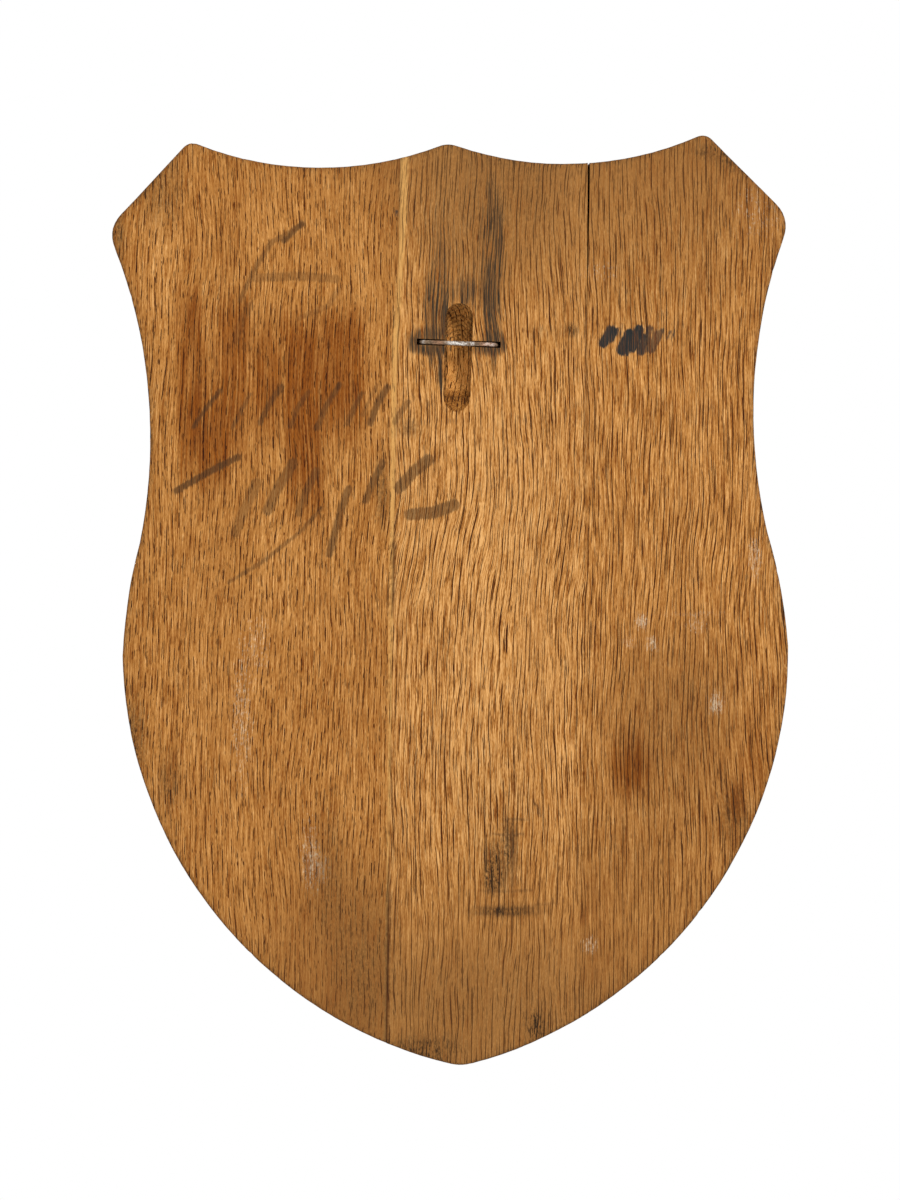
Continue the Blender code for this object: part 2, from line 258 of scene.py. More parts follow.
# Stretches of the staple that are worn bright with a painted highlight on top, or rusty: middle,
# half length, strength
BRIGHT_STRETCHES = ((-0.2, 4.6, 0.95), (5.7, 1, 0.7), (13.4, 2.6, 0.45), (-15.5, 0.9, 0.5))
RUSTY_STRETCHES = ((-8.9, 2.6, 0.45), (12.6, 3.2, 0.85), (9.6, 1.2, 0.4))


def srgb(red, green, blue):
    """A colour as a screen shows it, in the shader's own scale."""
    shares = (value / 255 for value in (red, green, blue))
    linear = [s / 12.92 if s <= 0.04045 else ((s + 0.055) / 1.055) ** 2.4 for s in shares]
    return (*linear, 1.0)


# Numbers that look random but are the same each time


def lattice_value(cell, seed):
    """A fixed number from -1 to 1 for each whole-numbered cell."""
    mixed = cell[..., 0] * 374761393 + cell[..., 1] * 668265263 + cell[..., 2] * 2147483647
    mixed = (mixed + seed * 1442695041) & 0xFFFFFFFF
    mixed = ((mixed ^ (mixed >> 13)) * 1274126177) & 0xFFFFFFFF
    mixed = ((mixed ^ (mixed >> 16)) * 2246822519) & 0xFFFFFFFF
    return ((mixed ^ (mixed >> 15)) & 0xFFFFFF) / 0x7FFFFF - 1.0


def smooth_noise(places, size, seed):
    """Soft noise from -1 to 1 at each place; size is how far it takes to change."""
    scaled = places / np.asarray(size, float)
    cell = np.floor(scaled).astype(np.int64)
    part = scaled - cell
    part = part * part * (3 - 2 * part)
    total = np.zeros(len(places))
    for corner in itertools.product((0, 1), repeat=3):
        corner = np.array(corner)
        share = np.prod(np.where(corner, part, 1 - part), axis=1)
        total += share * lattice_value(cell + corner, seed)
    return total


def noise_share(places, size, seed):
    """The same soft noise, from 0 to 1."""
    return 0.5 + 0.5 * smooth_noise(places, size, seed)


def rise(value, low, high):
    """A soft step from 0 at low to 1 at high."""
    share = np.clip((value - low) / (high - low), 0, 1)
    return share * share * (3 - 2 * share)


def distance_to_line(places, line):
    """How far each place is from a line made of straight stretches."""
    nearest = np.full(len(places), np.inf)
    for start, end in zip(line, line[1:]):
        start, along = np.array(start), np.subtract(end, start)
        share = np.clip((places - start) @ along / (along @ along), 0, 1)
        gap = np.linalg.norm(places - start - share[:, None] * along, axis=1)
        nearest = np.minimum(nearest, gap)
    return nearest


def patch_field(places, patches):
    """How strongly soft round patches cover each place, from 0 to 1."""
    clear = np.ones(len(places))
    for u, v, half_width, half_height, strength in patches:
        reach = ((places[:, 0] - u) / half_width) ** 2 + ((places[:, 1] - v) / half_height) ** 2
        clear *= 1 - strength * np.exp(-(reach**1.4))
    return 1 - clear


# Boards


def wanted_spacing(places):
    """How far apart points should be at each place, given in the frame's metres."""
    u, v, depth = -places[:, 0] / MM, places[:, 2] / MM, -places[:, 1] / MM
    spacing = np.full(len(places), SIDE_SPACING)
    spacing[depth < 0.2] = BACK_SPACING
    spacing[depth > THICKNESS - GROUND_DEPTH - 1.0] = FRONT_SPACING
    by_slot = (abs(u) < 8.6) & (v > -33) & (v < 20.5) & (depth < SLOT_DEPTH + 1)
    by_mouth = (abs(u - joint_u(RIGHT_JOINT, v)) < 3.5) & (v > 66) & (depth < 3)
    spacing[by_slot | by_mouth] = FINE_SPACING
    return spacing


def joint_u(joint, v):
    """Where a glue joint runs at a height."""
    return joint[0] + joint[1] * v


def merged_copy(node):
    """A CAD node's loose triangles as one closed skin of flat faces."""
    skin = bmesh.new()
    skin.from_mesh(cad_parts[node].data)
    bmesh.ops.remove_doubles(skin, verts=skin.verts, dist=2e-6)
    bmesh.ops.dissolve_limit(
        skin, angle_limit=math.radians(0.1), verts=skin.verts[:], edges=skin.edges[:]
    )
    return skin


def split_long_edges(skin):
    """Halve edges until none is much longer than the spacing wanted at its middle."""
    while True:
        edges = skin.edges[:]
        ends = np.array([[*edge.verts[0].co, *edge.verts[1].co] for edge in edges])
        middles = (ends[:, :3] + ends[:, 3:]) / 2
        lengths = np.linalg.norm(ends[:, 3:] - ends[:, :3], axis=1)
        too_long = lengths > 1.45 * MM * wanted_spacing(middles)
        if not too_long.any():
            return
        chosen = [edges[i] for i in np.nonzero(too_long)[0]]
        bmesh.ops.bisect_edges(skin, edges=chosen, cuts=1)


def near_any(places, others, reach):
    """Which places share a square of the given size, or lie in a square beside one, with others."""
    low = np.minimum(places.min(0), others.min(0)) - 2 * reach
    high = np.maximum(places.max(0), others.max(0))
    taken = np.zeros(np.ceil((high - low) / reach).astype(int) + 3, bool)
    column, row = ((others - low) / reach).astype(int).T
    for step_u, step_v in itertools.product((-1, 0, 1), repeat=2):
        taken[column + step_u, row + step_v] = True
    column, row = ((places - low) / reach).astype(int).T
    return taken[column, row]


def inner_points(flat, to_frame):
    """Points of an even lattice inside a face's outline, clear of the outline's own points."""
    corners = np.array(flat)
    low, high = corners.min(0), corners.max(0)
    found = []
    for level in (FINE_SPACING, BACK_SPACING, FRONT_SPACING, SIDE_SPACING):
        step = level * MM
        if min(high - low) < step:
            continue
        rows = np.arange(low[1] + step / 2, high[1], step * math.sqrt(3) / 2)
        columns = np.arange(low[0] + step / 2, high[0], step)
        grid_u, grid_v = np.meshgrid(columns, rows)
        grid_u = grid_u + (np.arange(len(rows)) % 2)[:, None] * step / 2
        grid = np.column_stack([grid_u.ravel(), grid_v.ravel()])
        grid = grid[wanted_spacing(to_frame(grid)) == level]
        if len(grid):
            found += grid[~near_any(grid, corners, 0.55 * step)].tolist()
    return found


def fill_faces(skin):
    """Refill each flat face with small even triangles, so that it can be carved and stained."""
    skin.verts.index_update()
    skin.normal_update()
    places = [vert.co.copy() for vert in skin.verts]
    triangles = []
    for face in skin.faces:
        origin, normal = face.verts[0].co, face.normal
        side = normal.orthogonal().normalized()
        up = normal.cross(side)
        rim = [vert.index for vert in face.verts]
        offsets = [vert.co - origin for vert in face.verts]
        flat = [Vector((offset.dot(side), offset.dot(up))) for offset in offsets]
        axes, start = np.array((side, up)), np.array(origin)
        inner = inner_points(flat, lambda grid: start + grid @ axes)
        if len(rim) == 3 and not inner:
            triangles.append(rim)
            continue
        loop = [(i, (i + 1) % len(flat)) for i in range(len(flat))]
        result = geometry.delaunay_2d_cdt(flat + inner, loop, [], 1, 1e-8)
        numbers = {}
        for i in {i for corners in result[2] for i in corners}:
            known = [source for source in result[3][i] if source < len(flat)]
            if known:
                numbers[i] = rim[known[0]]
            else:
                numbers[i] = len(places)
                places.append(origin + side * result[0][i].x + up * result[0][i].y)
        triangles += [[numbers[i] for i in corners] for corners in result[2]]
    skin.free()
    return np.array(places), triangles


def filled_mesh(name):
    """A board's fine mesh, still with the CAD node's exact form."""
    skin = merged_copy(name)
    split_long_edges(skin)
    places, triangles = fill_faces(skin)
    mesh = bpy.data.meshes.new(name + "_oak")
    mesh.from_pydata(places.tolist(), [], triangles)
    mesh.update()
    return mesh


def rows_of(items, name):
    """What a mesh stores for each item, such as a place or a normal, one row to an item."""
    flat = np.empty(len(items) * 3)
    items.foreach_get(name, flat)
    return flat.reshape(-1, 3)


def vertex_places(mesh):
    """All vertex places, in millimetres of the frame."""
    return rows_of(mesh.vertices, "co") / MM


def move_vertices(mesh, places):
    """Put the vertices in new places, in millimetres of the frame."""
    mesh.vertices.foreach_set("co", (places * MM).ravel())
    mesh.update()


class BoardPlaces:
    """Where each vertex of a board is: its place on the back, its depth and what it is part of."""

    def __init__(self, mesh):
        self.mm = vertex_places(mesh)
        self.normals = rows_of(mesh.vertex_normals, "vector")
        self.u, self.v, self.depth = -self.mm[:, 0], self.mm[:, 2], -self.mm[:, 1]
        self.on_back = np.column_stack([self.u, self.v])
        axis = np.subtract(SLOT_HEAD, SLOT_FOOT)
        axis = axis / np.linalg.norm(axis)
        from_head = self.on_back - SLOT_HEAD
        self.slot_along = -from_head @ axis
        self.slot_across = from_head @ np.array((axis[1], -axis[0]))
        self.in_slot = (abs(self.slot_across) < SLOT_HALF_WIDTH + 0.15) & (self.slot_along > -0.1)
        self.in_slot &= (self.slot_along < SLOT_LENGTH + 0.3) & (self.depth < SLOT_DEPTH + 0.4)
        from_crown = self.v + self.u * math.tan(STAPLE_TILT)
        self.in_seat = (abs(self.u) < SEAT_REACH[0]) & (abs(from_crown) < SEAT_REACH[1])
        self.in_seat &= self.depth < SEAT_REACH[2]
        gaps = np.array([self.u - joint_u(joint, self.v) for joint in (LEFT_JOINT, RIGHT_JOINT)])
        self.joint = np.argmin(abs(gaps), axis=0)
        self.joint_gap = np.where(self.joint == 0, gaps[0], gaps[1])
        self.by_joint = abs(self.joint_gap) < JOINT_REACH
        sides = (self.v - SOLID_CRACK_FOOT) / (SOLID_CRACK_TOP - SOLID_CRACK_FOOT)
        sides = np.clip(sides, 0, 1) * (self.joint == 1)
        sides = GLUE_GAP / 2 + (SOLID_CRACK_MOUTH - GLUE_GAP) * sides
        low_face = abs(self.joint_gap + GLUE_GAP / 2) < FACE_REACH
        high_face = abs(self.joint_gap - sides) < FACE_REACH
        self.joint_face = np.where(high_face, 1, np.where(low_face, -1, 0))
        self.normals[(self.joint_face != 0) & (self.depth < 0.05)] = (0.0, 1.0, 0.0)
        self.on_rim = (abs(self.normals[:, 1]) < 0.5) & ~self.by_joint
        self.on_rim &= ~self.in_slot & ~self.in_seat
        self.on_rim &= (self.depth > 0.3) & (self.depth < THICKNESS - GROUND_DEPTH - 1.2)
        self.from_edge = self.edge_distance()

    def edge_distance(self):
        """How far inside the shield's outline each vertex is."""
        rim = np.nonzero(self.on_rim)[0]
        tree = kdtree.KDTree(len(rim))
        for i in rim:
            tree.insert((self.u[i], self.v[i], 0.0), int(i))
        tree.balance()
        near = np.nonzero(near_any(self.on_back, self.on_back[rim], EDGE_REACH))[0]
        places = self.on_back[near]
        nearest = np.array([tree.find((u, v, 0.0))[1] for u, v in places.tolist()])
        out = np.column_stack([-self.normals[nearest, 0], self.normals[nearest, 2]])
        out /= np.linalg.norm(out, axis=1)[:, None]
        gap = np.einsum("ij,ij->i", self.on_back[nearest] - places, out)
        distance = np.full(len(self.u), 2 * EDGE_REACH)
        distance[near] = np.clip(gap, 0, None)
        return distance

    def chosen(self, mask):
        """The same facts for only some of the vertices."""
        part = copy.copy(self)
        for name, values in vars(self).items():
            setattr(part, name, values[mask])
        return part


def bowed_along(where):
    """How far down the slot each vertex is, along lines that bow as the gouge's edge does."""
    return where.slot_along - CHOP_BOW * where.slot_across**2


def cross_cuts(where):
    """The gouge's cross cuts in the slot, from 0 between two cuts to 1 in one."""
    turns = bowed_along(where) * 2 * math.pi / CHOP_PITCH
    return (0.5 + 0.5 * np.sin(turns + 0.8 * np.sin(where.slot_across * 1.3))) ** 2


def slot_relief(where):
    """How much deeper the slot is cut at each vertex: cross cuts, scoops and fibres."""
    along = where.slot_along
    ridges = cross_cuts(where) * rise(along, 0.5, 3.0) * (1 - rise(along, 15.0, 19.0))
    scoops = 0.5 + 0.5 * np.cos((bowed_along(where) - 21) * 2 * math.pi / 8.0)
    scoops = scoops * rise(along, 17.0, 20.0) * (1 - rise(along, 36.0, 40.0))
    splits = smooth_noise(where.mm, (0.55, 0.9, 5), 11) * rise(along, 2.0, 5.0)
    crumbs = smooth_noise(where.mm, (0.8, 0.8, 0.9), 12)
    left_standing = smooth_noise(where.mm, (1.1, 9, 9), 13) > 0
    lip = np.exp(-(((along - RAMP_START) / 0.8) ** 2)) * left_standing
    return 0.42 * ridges - 0.35 * scoops + 0.16 * splits + 0.12 * crumbs - 0.8 * lip


def back_relief(where):
    """How far the back lies below its plane: planed hollows, raised fibres and dents."""
    hollows = noise_share(where.mm, (26, 30, 110), 21)
    fibres = noise_share(where.mm, (1.9, 3, 24), 22)
    dents = rise(smooth_noise(where.mm, (3, 3, 4.5), 23), 0.62, 0.9)
    worn = np.exp(-where.from_edge / 1.6) * noise_share(where.mm, (5, 5, 9), 24)
    return 0.07 * hollows + 0.035 * fibres + 0.10 * dents + 0.30 * worn


def rim_relief(where):
    """How far in from the sawn outline the side is worn: long waves, knife facets and nicks."""
    waves = noise_share(where.mm, (17, 60, 17), 31)
    facets = noise_share(where.mm, (4, 9, 4), 32)
    nicks = rise(smooth_noise(where.mm, (1.7, 2.4, 1.7), 33), 0.7, 0.95)
    by_arris = np.exp(-where.depth / 1.5)
    return 0.22 * waves + 0.09 * facets + 0.35 * nicks * by_arris


def gouge_dishes(where):
    """Overlapping shallow dishes that a gouge leaves, from 0 at a ridge to 1 in a dish."""
    scaled = where.on_back / GOUGE_CUT
    cell = np.floor(scaled).astype(np.int64)
    nearest = np.full(len(scaled), 9.0)
    for step in itertools.product((-1, 0, 1), repeat=2):
        near = cell + np.array(step)
        key = np.column_stack([near, np.zeros(len(near), np.int64)])
        shift = np.column_stack([lattice_value(key, seed) for seed in (41, 42)])
        centre = near + 0.5 + GOUGE_SCATTER * shift
        nearest = np.minimum(nearest, np.linalg.norm(scaled - centre, axis=1))
    return 1 - np.clip(nearest, 0, 0.75) / 0.75


def front_relief(where):
    """How far the carved front is worn or cut below the solid's surface."""
    on_ground = rise(THICKNESS - where.depth, 3.0, 3.9)
    ground = on_ground * 0.60 * gouge_dishes(where)
    grain = noise_share(where.mm, (1.6, 3, 22), 42)
    waves = noise_share(where.mm, (14, 14, 30), 43)
    dents = rise(smooth_noise(where.mm, (4, 4, 6), 44), 0.66, 0.95)
    return ground + (1 - on_ground) * (0.06 * grain + 0.10 * waves + 0.16 * dents)


def close_joints(places, where):
    """Press the boards together, except where the right joint has opened at the back."""
    closed = np.clip(1 - where.depth / CRACK_DEPTH, 0, 1)
    opened = CRACK_MOUTH * rise(where.v, CRACK_FOOT, CRACK_HEAD) ** 0.7 * closed
    shift = np.where(where.joint_face > 0, SEAM - where.joint_gap, -SEAM - where.joint_gap)
    shift += opened * (where.joint_face > 0) * (where.joint == 1)
    places[:, 0] -= np.where(where.joint_face != 0, shift, 0.0)


def carve(mesh, where):
    """Move the vertices by the relief, inwards along their normals, and never out of the box."""
    soften_slot(mesh, where)
    back_share = rise(where.normals[:, 1], 0.5, 0.95) * (where.depth < 0.5)
    front_share = rise(-where.normals[:, 1], 0.05, 0.6) * (where.depth > THICKNESS - 6)
    front_share *= ~where.by_joint
    rim_share = np.where(where.on_rim, 1.0, 0.0)
    rim_share = np.maximum(rim_share, (where.from_edge < 1.2) * (where.depth < 1.0) * 0.9)
    move = np.zeros(len(where.u))
    reliefs = ((back_share, back_relief), (front_share, front_relief), (rim_share, rim_relief))
    for share, relief in reliefs:
        mask = share > 0
        move[mask] = np.maximum(move[mask], share[mask] * relief(where.chosen(mask)))
    move[where.by_joint & (abs(where.normals[:, 0]) > 0.9)] = 0.0
    move[where.in_slot | where.in_seat] = 0.0
    places = vertex_places(mesh) - where.normals * move[:, None]
    close_joints(places, where)
    inside = where.in_slot & ~where.in_seat & (where.depth > 0.25)
    places[inside] -= where.normals[inside] * slot_relief(where.chosen(inside))[:, None]
    move_vertices(mesh, places)


def soften_slot(mesh, where):
    """Melt the slot's facets into a rounded, hand-cut floor."""
    free = where.in_slot & ~where.in_seat & (where.depth > 0.25)
    pairs = np.empty(len(mesh.edges) * 2, np.int64)
    mesh.edges.foreach_get("vertices", pairs)
    first, second = pairs.reshape(-1, 2).T
    keep = free[first] | free[second]
    first, second = first[keep], second[keep]
    places = vertex_places(mesh)
    for _ in range(SLOT_MELTINGS):
        total, count = np.zeros_like(places), np.zeros(len(places))
        for here, there in ((first, second), (second, first)):
            np.add.at(total, here, places[there])
            np.add.at(count, here, 1)
        places[free] = total[free] / np.maximum(count[free, None], 1)
    move_vertices(mesh, places)


def stroke_fields(places, strokes):
    """For a set of strokes: the distance past the nearest stroke's edge, and its strength."""
    edge = np.full(len(places), 9.0)
    strength = np.zeros(len(places))
    for line, half_width, dark in strokes:
        gap = distance_to_line(places, line) - half_width
        nearer = gap < edge
        edge = np.where(nearer, gap, edge)
        strength = np.where(nearer, dark, strength)
    return edge, strength


def wash_field(places):
    """How thickly the brown wash covers each place, with long soft ends."""
    clear = 1 - patch_field(places, WASH_PATCHES)
    u, v = places.T
    for top, foot, half_width, strength in WASH_STROKES:
        share = np.clip((v - foot[1]) / (top[1] - foot[1]), 0, 1)
        across = abs(u - foot[0] - share * (top[0] - foot[0])) - half_width
        cover = rise(-across, -2.4, 2.0) * rise(top[1] - v, -7.0, 12.0)
        clear *= 1 - strength * cover * rise(v - foot[1], -20.0, 20.0)
    return 1 - clear


def seam_field(where):
    """Where a closed glue joint shows as a dark line, and how strongly."""
    left = (0.9, 0.9, 0.15, 0.15, 0.8, 0.8, 0.15, 0.15, 0.35, 0.35)
    heights = (-300, -240, -220, -120, -108, -86, -78, 40, 60, 90)
    right = np.interp(where.v, (-70, -40, -8, 30), (0.08, 0.45, 0.30, 0.08))
    strength = np.where(where.joint == 0, np.interp(where.v, heights, left), right)
    return strength * (1 - rise(abs(where.joint_gap), 0.1, 1.1))


def sapwood_field(where, board):
    """The pale stripe that runs along the left joint, on the one board and then on the other."""
    gap = where.u - joint_u(LEFT_JOINT, where.v)
    if board == "middle_board":
        width = 3.9 * rise(where.v, -22.0, 84.0) ** 0.7
        return rise(width - gap, 0.0, 0.7) * (gap < 6)
    if board == "left_board":
        width = np.interp(where.v, (-300, -226, -127, -50, 0, 36), (1.0, 1.3, 1.8, 2.4, 2.6, 0.0))
        return rise(width + gap, 0.0, 0.7) * (gap > -6)
    return np.zeros(len(where.u))


def cut_shade(where, share):
    """Painted shade in the bottoms of the slot's cross cuts and along the lip where the ramp
    starts, given how far down the slot each vertex is.
    """
    marks = cross_cuts(where) * rise(share, 0.02, 0.10) * (1 - 0.85 * rise(share, 0.36, 0.46))
    marks = np.maximum(marks, np.exp(-(((where.slot_along - RAMP_START) / 0.7) ** 2)))
    marks *= 1 - 0.7 * rise(share, 0.86, 0.90)
    return marks * (0.35 + 0.65 * rise(smooth_noise(where.mm, (1.6, 9, 1.4), 14), -0.5, 0.4))


def grime_and_wall_shade_field(where, inside):
    """Dirt on the back and along its edge, and painted shade on the slot's walls, most of all on
    the right one.
    """
    edge_dirt = np.exp(-where.from_edge / 0.9) * 0.62 + 0.12 * np.exp(-where.from_edge / 5.0)
    clean = (1 - patch_field(where.on_back, GRIME_PATCHES)) * (1 - edge_dirt)
    # Painted shade on the slot's walls, strongest on the right wall towards the slot's head
    right_wall = np.exp(-(((where.slot_along - 12.5) / 6.5) ** 4))
    right_wall *= rise(where.slot_across, 4.1, 5.0)
    walls = 0.50 * rise(abs(where.slot_across), 4.5, 5.6) + 0.50 * right_wall
    return 1 - clean * (1 - inside * walls)


def back_fields(where, board):
    """Every stain, mark, tone and painted shade of a board's back, as one number for each vertex.
    """
    places = where.on_back
    brown = stroke_fields(places, BROWN_STROKES)
    black = stroke_fields(places, INK_STROKES)
    is_black = black[0] < brown[0]
    inside = where.in_slot & (where.depth > 0.15)
    slot_share = where.slot_along / SLOT_LENGTH
    return {
        "stroke_edge": np.where(is_black, black[0], brown[0]),
        "stroke_strength": np.where(is_black, black[1], brown[1]),
        "stroke_black": is_black * 1.0,
        "wash": wash_field(places),
        "tannin": patch_field(places, TANNIN_PATCHES),
        "grime_and_shade": grime_and_wall_shade_field(where, inside),
        "scuff": patch_field(places, SCUFF_PATCHES),
        "tone": np.where(
            inside,
            1.10 * (1 - rise(slot_share, 0.75, 0.85)),
            patch_field(places, PALE_PATCHES) - patch_field(places, DARK_PATCHES),
        ),
        "sapwood": sapwood_field(where, board),
        "slot_dark": inside * np.maximum(0.08, rise(slot_share, 0.76, 0.86)),
        "chop_shade": inside * cut_shade(where, slot_share),
        "hollow": inside * 1.0,
        "seam": seam_field(where),
    }


def board_fields(where, board):
    """The back's fields, and those that every part of the board has."""
    by_back = where.depth < SLOT_DEPTH + 1
    near_back = back_fields(where.chosen(by_back), board)
    fields = {name: np.zeros(len(where.u)) for name in near_back}
    for name, values in near_back.items():
        fields[name][by_back] = values
    fields["raw"] = 1 - rise(where.depth, 0.5, 1.1) * ~(where.in_slot | where.in_seat)
    fields["front_height"] = np.clip(1 - (THICKNESS - where.depth) / GROUND_DEPTH, 0, 1)
    on_ground = rise(THICKNESS - where.depth, 3.0, 3.9) * (where.depth > THICKNESS - 6)
    fields["dish"] = on_ground * gouge_dishes(where)
    return fields


def add_object(name, data):
    """A new object in the scene, made of the given mesh, camera or light."""
    thing = bpy.data.objects.new(name, data)
    bpy.context.collection.objects.link(thing)
    return thing


def write_fields(mesh, fields):
    """Store each field on the mesh, where the material reads it by its name."""
    for name, values in fields.items():
        layer = mesh.attributes.new(name, "FLOAT", "POINT")
        layer.data.foreach_set("value", np.asarray(values, np.float32))


def write_bake_map(mesh, where):
    """A plain map with the back, the front and the sides side by side."""
    loops = np.empty(len(mesh.loops), np.int64)
    mesh.loops.foreach_get("vertex_index", loops)
    normals = np.repeat(rows_of(mesh.polygons, "normal"), 3, axis=0)
    low, high = where.mm.min(0), where.mm.max(0)
    share = (where.mm[loops] - low) / (high - low)
    back = (normals[:, 1] > 0.5) | (where.in_slot | where.in_seat)[loops]
    front = (normals[:, 1] < -0.5) & ~back
    upright = ~back & ~front & (abs(normals[:, 0]) >= abs(normals[:, 2]))
    level = ~back & ~front & ~upright
    right = upright & (normals[:, 0] > 0)
    strips = (
        (back, 0.005, 0.43, 0),
        (front, 0.445, 0.43, 0),
        (right, 0.885, 0.035, 1),
        (upright & ~right, 0.925, 0.035, 1),
        (level, 0.965, 0.03, 1),
    )
    across = np.zeros(len(loops))
    for strip, start, width, axis in strips:
        across[strip] = start + width * share[strip, axis]
    along = 0.005 + 0.99 * np.where(level, share[:, 0], share[:, 2])
    layer = mesh.uv_layers.new(name="OFBake")
    layer.data.foreach_set("uv", np.column_stack([across, along]).ravel())


def make_board(name, material):
    """One finished board that stands for its CAD node."""
    mesh = filled_mesh(name)
    where = BoardPlaces(mesh)
    write_fields(mesh, board_fields(where, name))
    write_bake_map(mesh, where)
    carve(mesh, where)
    mesh.materials.append(material)
    mesh.shade_smooth()
    mesh.set_sharp_from_angle(angle=SHARP_ANGLE)
    board = add_object(name + "_oak", mesh)
    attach(board, "root")
    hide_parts(name)


# Materials


class Finish:
    """A material written step by step: each call adds a node and gives its output."""

    def __init__(self, name):
        self.material = bpy.data.materials.new(name)
        self.material.use_nodes = True
        self.tree = self.material.node_tree
        self.surface = self.tree.nodes["Principled BSDF"]

    def add(self, kind, *values, **settings):
        """A node of a kind, with its settings and its first inputs."""
        node = self.tree.nodes.new("ShaderNode" + kind)
        for key, value in settings.items():
            setattr(node, key, value)
        for socket, value in zip(node.inputs, values):
            self.feed(socket, value)
        return node

    def feed(self, socket, value):
        """Link another node's output to a socket, or set the socket's value."""
        if isinstance(value, bpy.types.NodeSocket):
            self.tree.links.new(value, socket)
        else:
            socket.default_value = value

    def math(self, operation, *values):
        """One sum on numbers."""
        return self.add("Math", *values, operation=operation).outputs[0]

    def times(self, first, second):
        """Two numbers multiplied."""
        return self.math("MULTIPLY", first, second)

    def held(self, value, top=1.0):
        """A number held between 0 and a top."""
        return self.add("Clamp", value, 0.0, top).outputs[0]

    def total(self, *terms):
        """Several numbers, each times its weight, added up."""
        result = 0.0
        for value, weight in terms:
            result = self.math("MULTIPLY_ADD", value, weight, result)
        return result

    def step(self, value, low, high, start=0.0, end=1.0):
        """A number brought from one range into another, softly, and held at its ends."""
        node = self.add("MapRange", value, interpolation_type="SMOOTHSTEP")
        for socket, number in zip(node.inputs[1:5], (low, high, start, end)):
            self.feed(socket, number)
        return node.outputs[0]

    def mix(self, share, low, high, mode="MIX"):
        """Two colours mixed by a share."""
        node = self.add("Mix", share, data_type="RGBA", blend_type=mode)
        self.feed(node.inputs[6], low)
        self.feed(node.inputs[7], high)
        return node.outputs[2]

    def vector(self, operation, first, second):
        """One sum on places."""
        return self.add("VectorMath", first, second, operation=operation).outputs[0]

    def noise(self, place, size, detail=2.0, roughness=0.5):
        """Soft noise from about -1 to 1, whose spots have the given size."""
        scaled = self.vector("MULTIPLY", place, tuple(1 / length for length in size))
        node = self.add("TexNoise", scaled)
        node.inputs["Scale"].default_value = 1.0
        node.inputs["Detail"].default_value = detail
        node.inputs["Roughness"].default_value = roughness
        return self.math("MULTIPLY_ADD", node.outputs[0], 4.0, -2.0)

    def flecks(self, place, size, share):
        """Pointed slivers scattered one to a cell of the given size, in a share of the cells."""
        scaled = self.vector("MULTIPLY", place, tuple(1 / length for length in size))
        node = self.add("TexVoronoi", scaled)
        node.inputs["Scale"].default_value = 1.0
        lot = self.add("SeparateColor", node.outputs["Color"]).outputs[0]
        kept = self.math("LESS_THAN", lot, share)
        return self.times(self.step(node.outputs["Distance"], 0.42, 0.14), kept)

    def field(self, name):
        """A number stored on the mesh."""
        return self.add("Attribute", attribute_name=name).outputs["Fac"]

    def raise_surface(self, height, strength):
        """Fine relief in the shading, from a height in millimetres."""
        bump = self.add("Bump")
        bump.inputs["Strength"].default_value = strength
        bump.inputs["Distance"].default_value = MM
        self.feed(bump.inputs["Height"], height)
        self.feed(self.surface.inputs["Normal"], bump.outputs[0])

    def ramp(self, value, stops):
        """A colour from a row of stops."""
        node = self.add("ValToRGB", value)
        row = node.color_ramp.elements
        while len(row) < len(stops):
            row.new(0.5)
        for element, (place, colour) in zip(row, stops):
            element.position = place
            element.color = colour
        return node.outputs[0]


OAK_STOPS = (
    (0.0, srgb(100, 45, 6)),
    (0.25, srgb(142, 82, 25)),
    (0.5, srgb(172, 115, 53)),
    (0.75, srgb(200, 140, 74)),
    (1.0, srgb(226, 170, 104)),
)
WAXED_STOPS = (
    (0.0, srgb(34, 20, 10)),
    (0.4, srgb(74, 44, 22)),
    (0.7, srgb(110, 68, 36)),
    (1.0, srgb(152, 102, 58)),
)
OAK_SHEEN = 0.13
PORE_BROWN = srgb(64, 25, 1)
DULL_BROWN = srgb(108, 84, 54)
SAPWOOD = srgb(226, 172, 98)
TANNIN_GREY = srgb(52, 44, 34)
# Dirt, and the painted shade on the slot's walls
GRIME_AND_SHADE_BROWN = srgb(48, 32, 17)
SCUFF_PALE = srgb(224, 198, 164)
BRUSH_BROWN = srgb(70, 46, 24)
INK_BLACK = srgb(40, 41, 40)
WASH_BROWN = srgb(184, 149, 86)
HOLLOW_WARM = srgb(253, 241, 212)
RAMP_GREY = srgb(192, 186, 170)
# Painted shade in the slot's cross cuts
CUT_SHADE_BROWN = srgb(66, 38, 14)
WAXED_PORE = srgb(20, 11, 6)
IRON_STOPS = (
    (0.0, srgb(48, 36, 28)),
    (0.4, srgb(110, 86, 62)),
    (0.7, srgb(150, 126, 100)),
    (1.0, srgb(196, 176, 150)),
)
RUST_DARK = srgb(128, 78, 42)
RUST_PALE = srgb(206, 146, 106)
# Worn bright iron, and the painted highlight on the staple's top
WORN_AND_HIGHLIGHT_PALE = srgb(240, 234, 226)
# Painted shade on the staple's underside and legs
IRON_SHADE = srgb(22, 18, 16)


def grain_place(oak, lean, sway):
    """Places along the fibres: the board's lean, its slow wander and a bend half way down."""
    place = oak.add("TexCoord").outputs["Object"]
    place = oak.vector("MULTIPLY", place, (1 / MM, 1 / MM, 1 / MM))
    turned = oak.add("VectorRotate", place, rotation_type="Y_AXIS")
    turned.inputs["Angle"].default_value = lean
    place = turned.outputs[0]
    height = oak.add("SeparateXYZ", place).outputs["Z"]
    wander = oak.total(
        (oak.noise(place, (70, 70, 150)), 4.0),
        (oak.noise(place, (16, 30, 34)), 0.8 * sway),
        (oak.step(height, -122.0, -62.0), 5.0 * sway),
    )
    shift = oak.add("CombineXYZ", wander).outputs[0]
    return oak.vector("ADD", place, shift)


